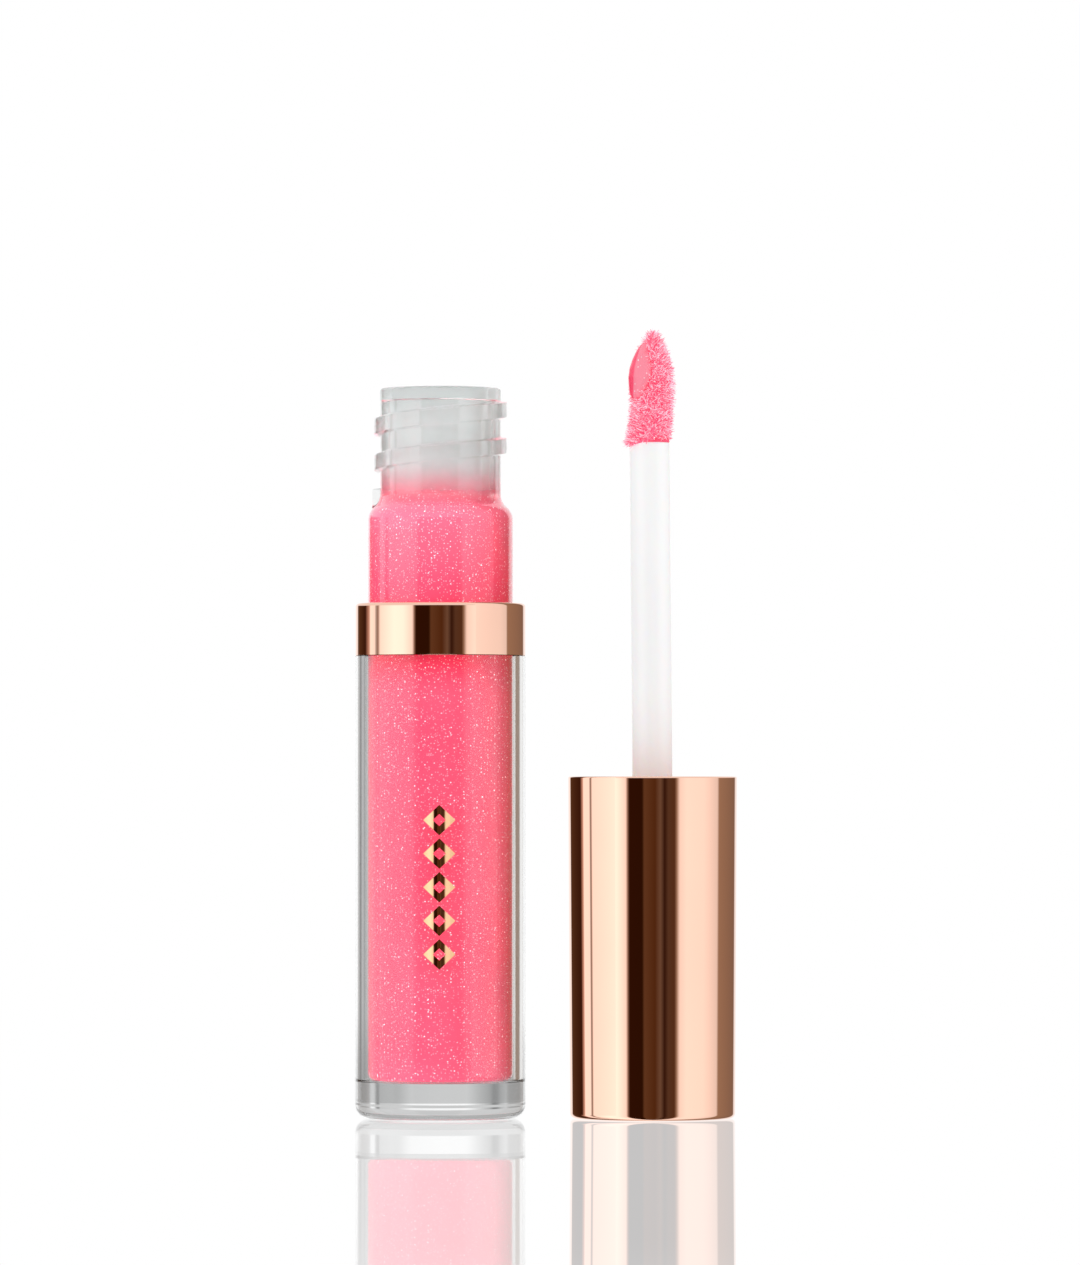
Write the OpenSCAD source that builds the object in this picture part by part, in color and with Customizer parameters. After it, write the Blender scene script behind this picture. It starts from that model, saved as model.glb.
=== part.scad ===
// Lip gloss tube, opened: a double-walled bottle and, beside it, its screw cap with the wand.
// Millimetres, +Z up. The origin is on the standing surface, midway between the two axes.
// The bottle stands on its base. The cap stands on its closed end, so the wand points up.

/* [Layout] */
// Distance from the bottle's axis to the cap's axis
spacing = 21.2; // [18:0.1:60]

/* [Outer bottle] */
// Outer diameter of the clear outer bottle
bottle_d = 17; // [16.8:0.1:18]
// Thickness of its wall
bottle_wall = 0.95; // [0.8:0.05:1.05]
// Thickness of its solid base
bottle_base = 3.65; // [2:0.05:5]
// Radius of the corner round its base
bottle_corner_r = 1.4; // [0.5:0.1:2]

/* [Collar] */
// Height of the collar's lower edge
collar_z = 46.15; // [40:0.05:48]
// Height of the metal collar
collar_h = 5.25; // [3:0.05:6]
// Thickness of its skirt
collar_wall = 0.45; // [0.3:0.05:0.5]
// Thickness of its top flange
collar_flange = 0.8; // [0.5:0.1:1.2]

/* [Inner vial] */
// Outer diameter of the vial that holds the gloss
vial_d = 14.5; // [14:0.1:14.6]
// Thickness of its wall and its neck
vial_wall = 1.1; // [1:0.05:1.3]
// Outer diameter of its neck
neck_d = 12.1; // [11.6:0.1:12.2]
// Height of the neck's top edge
neck_top = 71.65; // [71.5:0.05:72]
// Height at which the shoulder begins to curve in
shoulder_z = 59.7; // [59:0.1:60]

/* [Screw thread] */
// Advance of the thread in one turn
thread_lead = 3.6; // [3.2:0.1:3.8]
// Height of the neck's thread above the neck
thread_depth = 0.6; // [0.4:0.05:0.65]
// Width of the thread at its root
thread_root = 1.45; // [1:0.05:1.5]
// Width of the thread at its crest
thread_crest = 1.1; // [0.6:0.05:1.2]

/* [Gloss] */
// Height of the gloss between the neck and the wiper
gloss_level = 64.3; // [63:0.1:67]

/* [Wiper] */
// Diameter of the lip that strips the wand
orifice_d = 4.1; // [4.05:0.05:4.4]
// Height of the wiper's flange on top of the neck
wiper_flange = 1.25; // [0.8:0.05:1.4]

/* [Cap] */
// Height of the metal overcap
cap_h = 34.1; // [33:0.1:36]
// Outer diameter of the overcap at its open rim
cap_rim_d = 16.9; // [16.8:0.1:17.4]
// Outer diameter of the overcap at its closed end
cap_end_d = 16.5; // [16.4:0.1:17]
// Thickness of the overcap's wall
cap_wall = 0.45; // [0.3:0.05:0.5]

/* [Wand] */
// Diameter of the wand's stem
stem_d = 4; // [3.6:0.1:4]
// Height of the stem's end, where the soft tip is plugged in
stem_top = 67.5; // [60:0.1:70]
// Angle by which the tip's spoon face is turned towards the front
tip_turn = 27; // [0:1:90]

/* [Hidden] */
$fn = 96;

bottle_x = -spacing / 2;
cap_x = spacing / 2;

// Outer bottle and collar
bottle_r = bottle_d / 2;
bottle_bore_r = bottle_r - bottle_wall;
rebate_r = bottle_r - collar_wall;
collar_top = collar_z + collar_h;
collar_edge_r = 0.35;
bottle_top = collar_top - collar_flange;
fit_gap = 0.05;

// Inner vial: one arc turns the wall in and the next turns it up into the neck
vial_r = vial_d / 2;
vial_bore_r = vial_r - vial_wall;
vial_corner_r = 0.9;
vial_inner_corner_r = 0.4;
vial_floor = 0.5;
neck_r = neck_d / 2;
neck_bore_r = neck_r - vial_wall;
turn_in_r = 1.8;
turn_up_r = 1.6;
turn_angle = acos(1 - (vial_r - neck_r) / (turn_in_r + turn_up_r));
neck_z = shoulder_z + (turn_in_r + turn_up_r) * sin(turn_angle);
lug_reach = 6.83;
lug_w = 1.2;
lug_z = 60.7;
lug_h = 2.15;

// Screw thread
thread_step = 7.5;
thread_fade = 30;
thread_sink = 0.3;
thread_start_z = neck_top - 6.25;
thread_from = 150;
thread_to = 780;

// Wiper: a plug in the neck, a slightly slimmer sleeve below it and a cone that ends in the lip
wiper_top = neck_top + wiper_flange;
wiper_plug_z = neck_top - 4;
wiper_sleeve_r = 4.75;
wiper_bore_r = 3.9;
wiper_mouth_r = 4.25;
wiper_cone_z = 62.2;
wiper_end_z = 60.6;
lip_h = 0.8;
lip_wall = 0.65;
orifice_r = orifice_d / 2;

// Foil motif: lozenges in a column up the front of the outer bottle
foil_t = 0.04;
foil_z = 15;
foil_count = 5;
foil_pitch = 3.32;
foil_w = 3.2;
foil_h = 3.02;
foil_hole = 0.4;

// Cap: closed_sum is the height that turns a place on the standing cap into its place when closed
closed_sum = cap_h + collar_top + 0.1;
cap_end_t = 0.6;
cap_corner_r = 0.5;
cap_rim_r = 0.15;
thread_bore_r = neck_r + thread_depth + 0.12;
inner_cap_top = closed_sum - lug_z - lug_h - 0.15;
deck_top = closed_sum - wiper_top - 0.85;
deck_h = 1.6;
hub_r = 3.3;
hub_z = 4.6;
well_r = 6.9;
rib_w = 0.8;
rib_count = 6;
inner_thread_depth = thread_depth - 0.05;
inner_thread_root = 1.25;
inner_thread_crest = 0.85;
inner_thread_z = closed_sum - thread_start_z - thread_lead / 2;
inner_thread_from = -360;
inner_thread_to = 210;

// Sealing liner: a loose ring on the deck, round the stem's flange
liner_gap = 0.05;
liner_t = 0.75;
liner_in_r = 4.2;
liner_out_r = 6.1;

// Wand
stem_r = stem_d / 2;
flange_r = 3.4;
flange_t = 0.8;
barb_r = 2.35;
barb_h = 1;
plug_r = 1.15;
plug_l = 5.8;

// Tip: [radius, height above the stem's end] of the core, before its spoon face is scooped out
tip_outline = [
  [2, 0], [1.8, 1.6], [1.7, 3.2], [1.78, 4.8], [1.72, 6.4], [1.48, 8], [1.05, 9.4], [0.55, 10.4], [0, 10.85]
];
scoop_r = 7;
scoop_x = -1.2;
scoop_z = 6.5;
flock_t = 0.38;
flock_base = 0.45;
bead_r = 4.7;
bead_x = -2.41;
bead_z = 6.76;
window_z = 7.1;
window_h = 5.9;
window_w = 3.3;

// Points along an arc about (x, y), from angle a0 to angle a1
function arc(x, y, r, a0, a1, n = 8) = [
  for (i = [0:n]) [x + r * cos(a0 + (a1 - a0) * i / n), y + r * sin(a0 + (a1 - a0) * i / n)]
];

// Side of the shoulder from the wall up to the neck, moved inwards by inset
function shoulder(inset) = concat(
  arc(vial_r - turn_in_r, shoulder_z, turn_in_r - inset, 0, turn_angle),
  arc(neck_r + turn_up_r, neck_z, turn_up_r + inset, 180 + turn_angle, 180)
);

// The list from its last point to its first
function reversed(points) = [for (i = [len(points) - 1:-1:0]) points[i]];

// Inside of the vial, from the middle of its floor up to the neck's bore
function vial_inside() = concat(
  [[0, bottle_base + vial_floor]],
  arc(
    vial_bore_r - vial_inner_corner_r, bottle_base + vial_floor + vial_inner_corner_r,
    vial_inner_corner_r, -90, 0
  ),
  shoulder(vial_wall)
);

// Outer radius of the overcap at a height
function cap_r(z) = (cap_end_d + (cap_rim_d - cap_end_d) * z / cap_h) / 2;

// How far the thread has risen to its full depth at angle a
function fade(a, from, to) = max(0.04, min(1, (a - from) / thread_fade, (to - a) / thread_fade));

// A rib that winds round the axis. base_r is the wall it stands on, and depth is negative for a rib
// that points inwards. z0 is its height where the angle is zero.
module thread(base_r, depth, root_w, crest_w, z0, from, to) {
  sink = depth > 0 ? -thread_sink : thread_sink;
  count = ceil((to - from) / thread_step);
  angles = [for (i = [0:count]) from + (to - from) * i / count];
  rings = [
    for (a = angles)
      let (
        z = z0 + thread_lead * a / 360,
        f = fade(a, from, to),
        crest_r = base_r + depth * f,
        crest = (root_w + (crest_w - root_w) * f) / 2
      )
      [
        [base_r + sink, z - root_w / 2], [crest_r, z - crest],
        [crest_r, z + crest], [base_r + sink, z + root_w / 2]
      ]
  ];
  points = [
    for (i = [0:count]) for (p = rings[i]) [p.x * cos(angles[i]), p.x * sin(angles[i]), p.y]
  ];
  sides = [
    for (i = [0:count - 1]) for (j = [0:3])
      let (a = 4 * i + j, b = 4 * i + (j + 1) % 4)
      each [[a, b, a + 4], [b, b + 4, a + 4]]
  ];
  last = 4 * count;
  ends = [[3, 2, 1], [3, 1, 0], [last, last + 1, last + 2], [last, last + 2, last + 3]];
  faces = concat(sides, ends);
  outward = depth > 0 ? faces : [for (f = faces) reversed(f)];
  polyhedron(points = points, faces = outward, convexity = 8);
}

// Clear outer bottle: thick base, thin wall, and a rebate at the top that the collar covers
module outer_bottle() {
  inner_corner = vial_corner_r + bottle_bore_r - vial_r;
  color([0.93, 0.95, 0.96, 0.35])
    translate([bottle_x, 0, 0])
      rotate_extrude()
        polygon(concat(
          [[0, 0]],
          arc(bottle_r - bottle_corner_r, bottle_corner_r, bottle_corner_r, -90, 0),
          [[bottle_r, collar_z], [rebate_r, collar_z], [rebate_r, bottle_top], [bottle_bore_r, bottle_top]],
          arc(bottle_bore_r - inner_corner, bottle_base + inner_corner, inner_corner, 0, -90),
          [[0, bottle_base]]
        ));
}

// Rose-gold collar: a skirt over the bottle's rim and a flange that closes the gap to the vial
module collar() {
  color([0.86, 0.62, 0.5])
    translate([bottle_x, 0, 0])
      rotate_extrude()
        polygon(concat(
          [[rebate_r, collar_z], [bottle_r, collar_z]],
          arc(bottle_r - collar_edge_r, collar_top - collar_edge_r, collar_edge_r, 0, 90),
          [[vial_r + fit_gap, collar_top], [vial_r + fit_gap, bottle_top], [rebate_r, bottle_top]]
        ));
}

// Clear inner vial with a shoulder, a threaded neck and a stop lug for the cap
module inner_vial() {
  color([0.95, 0.97, 0.97, 0.35])
    translate([bottle_x, 0, 0]) {
      rotate_extrude()
        polygon(concat(
          [[0, bottle_base]],
          arc(vial_r - vial_corner_r, bottle_base + vial_corner_r, vial_corner_r, -90, 0),
          shoulder(0),
          [[neck_r, neck_top], [neck_bore_r, neck_top]],
          reversed(vial_inside())
        ));
      intersection() {
        thread(
          neck_r, thread_depth, thread_root, thread_crest,
          thread_start_z - thread_lead / 2, thread_from, thread_to
        );
        cylinder(r = vial_r, h = neck_top);
      }
      translate([-lug_reach, -lug_w / 2, lug_z])
        cube([lug_reach - neck_r + 0.4, lug_w, lug_h]);
    }
}

// The gloss itself: it fills the vial and stands in the neck round the wiper's sleeve
module gloss_fill() {
  color([0.98, 0.36, 0.5])
    translate([bottle_x, 0, 0])
      rotate_extrude()
        polygon(concat(
          vial_inside(),
          [
            [neck_bore_r, gloss_level], [wiper_sleeve_r, gloss_level], [wiper_sleeve_r, wiper_cone_z],
            [orifice_r + lip_wall, wiper_end_z], [0, wiper_end_z]
          ]
        ));
}

// Wiper: a flange on the neck, a plug in it, a sleeve and a cone with the stripping lip
module wiper() {
  edge_r = 0.25;
  color([0.94, 0.95, 0.95, 0.6])
    translate([bottle_x, 0, 0])
      rotate_extrude()
        polygon(concat(
          [[wiper_mouth_r, wiper_top]],
          reversed(arc(neck_r - edge_r, wiper_top - edge_r, edge_r, 0, 90)),
          [
            [neck_r, neck_top], [neck_bore_r, neck_top], [neck_bore_r, wiper_plug_z],
            [wiper_sleeve_r, wiper_plug_z - 0.6], [wiper_sleeve_r, wiper_cone_z],
            [orifice_r + lip_wall, wiper_end_z], [orifice_r, wiper_end_z], [orifice_r, wiper_end_z + lip_h],
            [wiper_bore_r, wiper_cone_z + 0.2], [wiper_bore_r, wiper_plug_z]
          ]
        ));
}

// One lozenge of the motif, drawn flat, with an open middle
module lozenge() {
  corners = [[-foil_w / 2, 0], [0, -foil_h / 2], [foil_w / 2, 0], [0, foil_h / 2]];
  difference() {
    polygon(corners);
    polygon(corners * foil_hole);
  }
}

// Foil motif: the column of lozenges, wrapped on the front of the outer bottle
module foil_motif() {
  color([0.86, 0.62, 0.5])
    translate([bottle_x, 0, 0])
      intersection() {
        difference() {
          cylinder(r = bottle_r + foil_t, h = collar_z);
          translate([0, 0, -1])
            cylinder(r = bottle_r, h = collar_z + 2);
        }
        for (i = [0:foil_count - 1])
          translate([0, 0, foil_z + foil_h / 2 + i * foil_pitch])
            rotate([90, 0, 0])
              linear_extrude(bottle_r + 1)
                lozenge();
      }
}

// Metal overcap: a slightly tapered cup, open at the top as it stands
module overcap() {
  color([0.86, 0.62, 0.5])
    translate([cap_x, 0, 0])
      rotate_extrude()
        polygon(concat(
          [[0, 0]],
          arc(cap_end_d / 2 - cap_corner_r, cap_corner_r, cap_corner_r, -90, 0),
          arc(cap_r(cap_h) - cap_rim_r, cap_h - cap_rim_r, cap_rim_r, 0, 90),
          [
            [cap_r(cap_h) - cap_wall, cap_h], [cap_r(cap_end_t) - cap_wall, cap_end_t], [0, cap_end_t]
          ]
        ));
}

// Inner cap: a threaded cup above a deck, with a ribbed well and a hub for the stem below it
module inner_cap() {
  color([0.93, 0.93, 0.92])
    translate([cap_x, 0, 0]) {
      difference() {
        rotate_extrude()
          polygon([
            [0, cap_end_t], [cap_r(cap_end_t) - cap_wall, cap_end_t],
            [cap_r(inner_cap_top) - cap_wall, inner_cap_top], [thread_bore_r + 0.3, inner_cap_top],
            [thread_bore_r, inner_cap_top - 0.4], [thread_bore_r, deck_top], [0, deck_top]
          ]);
        rotate_extrude()
          polygon([
            [0, 0], [well_r, 0], [well_r, deck_top - deck_h], [hub_r, deck_top - deck_h],
            [hub_r, hub_z], [0, hub_z]
          ]);
        translate([0, 0, -1])
          cylinder(r = stem_r, h = deck_top + 2);
      }
      difference() {
        for (i = [0:rib_count - 1])
          rotate([0, 0, 360 * i / rib_count])
            translate([hub_r - 0.2, -rib_w / 2, hub_z])
              cube([well_r - hub_r + 0.4, rib_w, deck_top - deck_h - hub_z + 0.2]);
        translate([0, 0, -1])
          cylinder(r = stem_r, h = deck_top + 2);
      }
      thread(
        thread_bore_r, -inner_thread_depth, inner_thread_root, inner_thread_crest,
        inner_thread_z, inner_thread_from, inner_thread_to
      );
    }
}

// Sealing liner: the loose ring that the wiper's flange presses on when the cap is screwed down
module sealing_liner() {
  color([0.97, 0.97, 0.96])
    translate([cap_x, 0, deck_top + liner_gap])
      difference() {
        cylinder(r = liner_out_r, h = liner_t);
        translate([0, 0, -1])
          cylinder(r = liner_in_r, h = liner_t + 2);
      }
}

// Wand stem: a barbed foot through the hub, a flange on the deck and a socket for the tip
module wand_stem() {
  color([0.97, 0.97, 0.98])
    translate([cap_x, 0, 0])
      difference() {
        union() {
          translate([0, 0, hub_z - barb_h])
            cylinder(r = stem_r, h = stem_top - hub_z + barb_h);
          translate([0, 0, hub_z - barb_h])
            cylinder(r1 = stem_r - 0.3, r2 = barb_r, h = barb_h);
          translate([0, 0, deck_top])
            cylinder(r = flange_r, h = flange_t);
        }
        translate([0, 0, stem_top - plug_l])
          cylinder(r = plug_r, h = plug_l + 1);
      }
}

// The tip's revolved outline, grown by a thickness
module tip_body(grow) {
  top = tip_outline[len(tip_outline) - 1];
  rotate_extrude()
    polygon(concat(
      [[0, 0]],
      [for (i = [0:len(tip_outline) - 2]) tip_outline[i] + [grow, 0.6 * grow * i / len(tip_outline)]],
      [top + [grow * 0.3, grow * 0.7], top + [0, grow]]
    ));
}

// The core: the outline with the spoon face scooped out of its -X side
module tip_core() {
  difference() {
    tip_body(0);
    translate([scoop_x - scoop_r, 0, scoop_z])
      rotate([90, 0, 0])
        cylinder(r = scoop_r, h = 2 * scoop_r, center = true);
  }
}

// Where the gloss bead lies: a bulging surface, seen through a pointed oval on the -X side
module bead_body() {
  window_r = (pow(window_h, 2) + pow(window_w, 2)) / (4 * window_w);
  intersection() {
    rotate_extrude()
      intersection() {
        translate([-bead_x - bead_r, bead_z])
          circle(bead_r);
        translate([0, window_z - window_h / 2])
          square([bead_r, window_h]);
      }
    translate([-0.3, 0, window_z])
      rotate([0, -90, 0])
        linear_extrude(bead_r)
          intersection_for (side = [-1, 1])
            translate([0, side * (window_r - window_w / 2)])
              circle(window_r);
  }
}

// Soft tip: a spoon-faced core with a plug in the stem's socket
module applicator_tip() {
  color([0.93, 0.9, 0.88])
    translate([cap_x, 0, stem_top])
      rotate([0, 0, tip_turn]) {
        tip_core();
        translate([0, 0, -plug_l + 0.1])
          cylinder(r = plug_r, h = plug_l);
      }
}

// Flock coat: the fibres that cover the core, as one shell
module flock_coat() {
  color([0.98, 0.47, 0.58])
    translate([cap_x, 0, stem_top])
      rotate([0, 0, tip_turn])
        difference() {
          union() {
            tip_body(flock_t);
            cylinder(r = tip_outline[0].x + flock_base, h = 0.7);
          }
          tip_core();
          bead_body();
        }
}

// Gloss bead: the drop that the spoon face carries
module gloss_bead() {
  color([0.97, 0.38, 0.5])
    translate([cap_x, 0, stem_top])
      rotate([0, 0, tip_turn])
        difference() {
          bead_body();
          tip_core();
        }
}

outer_bottle();
collar();
inner_vial();
gloss_fill();
wiper();
foil_motif();
overcap();
inner_cap();
sealing_liner();
wand_stem();
applicator_tip();
flock_coat();
gloss_bead();
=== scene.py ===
"""Looks of the opened lip gloss tube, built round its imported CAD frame.

Metres, +Z up, the front is -Y. Sizes below are written in millimetres and turned into metres where
meshes are made. Every place is taken from the CAD nodes' boxes.
"""

import math
import random

import bmesh
import bpy
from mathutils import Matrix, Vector


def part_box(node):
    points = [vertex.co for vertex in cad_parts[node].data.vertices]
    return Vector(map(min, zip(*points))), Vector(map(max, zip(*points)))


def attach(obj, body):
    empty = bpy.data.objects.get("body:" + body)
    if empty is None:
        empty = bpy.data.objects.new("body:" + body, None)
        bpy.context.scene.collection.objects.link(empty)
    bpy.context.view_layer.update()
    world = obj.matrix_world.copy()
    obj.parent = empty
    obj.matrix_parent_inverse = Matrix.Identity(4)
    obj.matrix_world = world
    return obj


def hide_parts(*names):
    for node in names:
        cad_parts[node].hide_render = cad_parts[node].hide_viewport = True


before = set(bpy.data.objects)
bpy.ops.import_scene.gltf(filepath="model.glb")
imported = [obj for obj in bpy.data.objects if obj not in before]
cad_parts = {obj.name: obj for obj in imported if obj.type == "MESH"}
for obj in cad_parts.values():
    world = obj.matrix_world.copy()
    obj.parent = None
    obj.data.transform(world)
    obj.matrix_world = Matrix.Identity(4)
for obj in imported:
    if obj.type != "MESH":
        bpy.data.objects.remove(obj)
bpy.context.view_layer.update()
scene = bpy.context.scene
MM = 0.001
SEED = 20


# ---------------------------------------------------------------- places and sizes, millimetres


class Ring:
    """A round CAD node: its axis, outer radius and the heights it spans."""

    def __init__(self, node):
        lo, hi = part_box(node)
        self.x = (lo.x + hi.x) / 2 / MM
        self.r = (hi.y - lo.y) / 2 / MM
        self.z0, self.z1 = lo.z / MM, hi.z / MM


shell = Ring("outer_bottle")
band = Ring("collar")
vial = Ring("inner_vial")
plug = Ring("wiper")
cap = Ring("overcap")
stem = Ring("wand_stem")
foil_lo, foil_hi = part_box("foil_motif")

BOTTLE_X = shell.x
CAP_X = cap.x
OVERLAP = 0.02
WALL = 0.95
CORNER = 1.4
SKIRT = 0.45
FLANGE = 0.8
VIAL_R = 7.25
VIAL_WALL = 1.1
VIAL_CORNER = 0.9
CAVITY_CORNER = 0.3
NECK_R = plug.r
BORE_R = NECK_R - VIAL_WALL
TURN_IN, TURN_UP = 1.8, 1.6
SHOULDER_Z = 59.7
TURN = math.acos(1 - (VIAL_R - NECK_R) / (TURN_IN + TURN_UP))
NECK_Z = SHOULDER_Z + (TURN_IN + TURN_UP) * math.sin(TURN)
STEM_TOP = stem.z1
LEAN = 0.28
TIP_TURN = math.radians(27)


# ---------------------------------------------------------------- mesh helpers


def arc(cx, cz, r, a0, a1, n=12):
    """Points (r, z) along an arc, angles in degrees."""
    angles = [math.radians(a0 + (a1 - a0) * i / n) for i in range(n + 1)]
    return [(cx + r * math.cos(a), cz + r * math.sin(a)) for a in angles]


def steps(z0, z1, pitch):
    n = max(1, math.ceil(abs(z1 - z0) / pitch))
    return [z0 + (z1 - z0) * i / n for i in range(n + 1)]


def clamp(x, lo=0.0, hi=1.0):
    return max(lo, min(hi, x))


def smooth(x):
    x = clamp(x)
    return x * x * (3 - 2 * x)


def finish_mesh(name, verts, faces, sharp=35):
    """A smooth-shaded object from millimetre points, its normals outwards and its edges kept crisp."""
    mesh = bpy.data.meshes.new(name)
    mesh.from_pydata([Vector(v) * MM for v in verts], [], faces)
    bm = bmesh.new()
    bm.from_mesh(mesh)
    bmesh.ops.recalc_face_normals(bm, faces=bm.faces)
    bm.to_mesh(mesh)
    bm.free()
    for p in mesh.polygons:
        p.use_smooth = True
    mesh.set_sharp_from_angle(angle=math.radians(sharp))
    obj = bpy.data.objects.new(name, mesh)
    scene.collection.objects.link(obj)
    return obj


def held(profile, longest=0.3, gap=0.04):
    """Adds a row close to each end of every long straight stretch, which keeps its shading true."""
    rows = [profile[0]]
    for (r0, z0), (r1, z1) in zip(profile, profile[1:]):
        length = math.hypot(r1 - r0, z1 - z0)
        if length > longest:
            for f in (gap / length, 1 - gap / length):
                rows.append((r0 + (r1 - r0) * f, z0 + (z1 - z0) * f))
        rows.append((r1, z1))
    return rows


def lathe(name, axis_x, profile, sides=192, swell=None, sharp=35, close=False):
    """Revolves (r, z) points round a vertical axis. A point with r 0 is a pole. swell(r, z, angle)
    gives the radius where the wall isn't round. close joins the last point to the first."""
    verts, faces, rings = [], [], []
    for r, z in held(profile):
        if r < 1e-6:
            rings.append([len(verts)])
            verts.append((axis_x, 0, z))
            continue
        rings.append(list(range(len(verts), len(verts) + sides)))
        for i in range(sides):
            a = 2 * math.pi * i / sides
            rr = swell(r, z, a) if swell else r
            verts.append((axis_x + rr * math.cos(a), rr * math.sin(a), z))
    pairs = list(zip(rings, rings[1:]))
    if close:
        pairs.append((rings[-1], rings[0]))
    for low, high in pairs:
        for i in range(sides):
            j = (i + 1) % sides
            quad = [low[i % len(low)], low[j % len(low)], high[j % len(high)], high[i % len(high)]]
            face = list(dict.fromkeys(quad))
            if len(face) > 2:
                faces.append(face)
    return finish_mesh(name, verts, faces, sharp)


# ---------------------------------------------------------------- material helpers


class Tree:
    """Short names for adding and joining nodes."""

    def __init__(self, tree):
        self.tree = tree
        tree.nodes.clear()

    def node(self, kind, **values):
        n = self.tree.nodes.new(kind)
        for key, value in values.items():
            setattr(n, key, value)
        return n

    def link(self, source, target):
        self.tree.links.new(source, target)

    def put(self, socket, value):
        """Joins a socket to another one, or sets its constant."""
        if isinstance(value, bpy.types.NodeSocket):
            self.link(value, socket)
        else:
            socket.default_value = value

    def math(self, operation, a, b=0.0, clamped=False):
        n = self.node("ShaderNodeMath", operation=operation, use_clamp=clamped)
        self.put(n.inputs[0], a)
        self.put(n.inputs[1], b)
        return n.outputs[0]

    def span(self, value, from_lo, from_hi, to_lo=0.0, to_hi=1.0, kind="SMOOTHSTEP"):
        n = self.node("ShaderNodeMapRange", interpolation_type=kind)
        for socket, v in zip(n.inputs, (value, from_lo, from_hi, to_lo, to_hi)):
            self.put(socket, v)
        return n.outputs[0]

    def mix(self, factor, a, b):
        n = self.node("ShaderNodeMix", data_type="RGBA")
        self.put(n.inputs[0], factor)
        self.put(n.inputs[6], a)
        self.put(n.inputs[7], b)
        return n.outputs[2]

    def xyz(self):
        """The object's own x, y and z, in metres."""
        split = self.node("ShaderNodeSeparateXYZ")
        self.link(self.node("ShaderNodeTexCoord").outputs["Object"], split.inputs[0])
        return split.outputs

    def noise(self, scale, detail=3.0, stretch=(1, 1, 1), rough=0.5):
        coords = self.node("ShaderNodeTexCoord").outputs["Object"]
        if stretch != (1, 1, 1):
            m = self.node("ShaderNodeMapping")
            m.inputs["Scale"].default_value = stretch
            self.link(coords, m.inputs["Vector"])
            coords = m.outputs[0]
        n = self.node("ShaderNodeTexNoise")
        self.link(coords, n.inputs["Vector"])
        n.inputs["Scale"].default_value = scale
        n.inputs["Detail"].default_value = detail
        n.inputs["Roughness"].default_value = rough
        return n.outputs[0]

    def bump(self, height, distance, strength=1.0):
        n = self.node("ShaderNodeBump")
        n.inputs["Strength"].default_value = strength
        n.inputs["Distance"].default_value = distance
        self.link(height, n.inputs["Height"])
        return n.outputs[0]


def rgba(c):
    return (*c, 1.0)


def blank_material(name):
    """An empty material, its node tree and the socket its surface goes in."""
    mat = bpy.data.materials.new(name)
    mat.use_nodes = True
    t = Tree(mat.node_tree)
    return mat, t, t.node("ShaderNodeOutputMaterial").inputs[0]


def surface(name, colours, rough, grain, depth, stretch=(1, 1, 1), extra=None, **sockets):
    """A Principled material: colour and roughness wander between two values and a fine grain bumps
    it. extra(tree, shader, colour) may add more nodes and returns the colour to use."""
    mat, t, out = blank_material(name)
    shader = t.node("ShaderNodeBsdfPrincipled")
    t.link(shader.outputs[0], out)
    wander = t.noise(grain * 0.12, 2.0, stretch)
    fine = t.noise(grain, 4.0, stretch)
    colour = t.mix(t.span(wander, 0.3, 0.7), rgba(colours[0]), rgba(colours[1]))
    t.link(t.span(fine, 0.25, 0.75, *rough), shader.inputs["Roughness"])
    t.link(t.bump(fine, depth), shader.inputs["Normal"])
    if extra:
        colour = extra(t, shader, colour)
    t.link(colour, shader.inputs["Base Color"])
    for key, value in sockets.items():
        shader.inputs[key.replace("_", " ")].default_value = value
    return mat


def sparkle(t, cell, chance, size, seed=0.0):
    """1 on small random flakes: cell is their spacing in metres, chance the share of cells lit."""
    coords = t.node("ShaderNodeTexCoord").outputs["Object"]
    move = t.node("ShaderNodeMapping")
    move.inputs["Location"].default_value = (seed, seed * 0.7, seed * 1.3)
    t.link(coords, move.inputs["Vector"])
    v = t.node("ShaderNodeTexVoronoi")
    v.inputs["Scale"].default_value = 1 / cell
    t.link(move.outputs[0], v.inputs["Vector"])
    near = t.span(v.outputs["Distance"], size, size * 0.55)
    pick = t.node("ShaderNodeSeparateColor")
    t.link(v.outputs["Color"], pick.inputs[0])
    lit = t.math("LESS_THAN", pick.outputs[0], chance)
    glow = t.math("MULTIPLY", near, lit)
    return t.math("MULTIPLY", glow, t.span(pick.outputs[1], 0, 1, 0.35, 1))


# ---------------------------------------------------------------- materials

GOLD = (0.88, 0.555, 0.43)
PINK = (0.985, 0.138, 0.25)
PINK_DEEP = (0.96, 0.105, 0.212)
# Heights in millimetres between which the gloss thins out up the neck
FADE = (60.8, 65.8)


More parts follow.
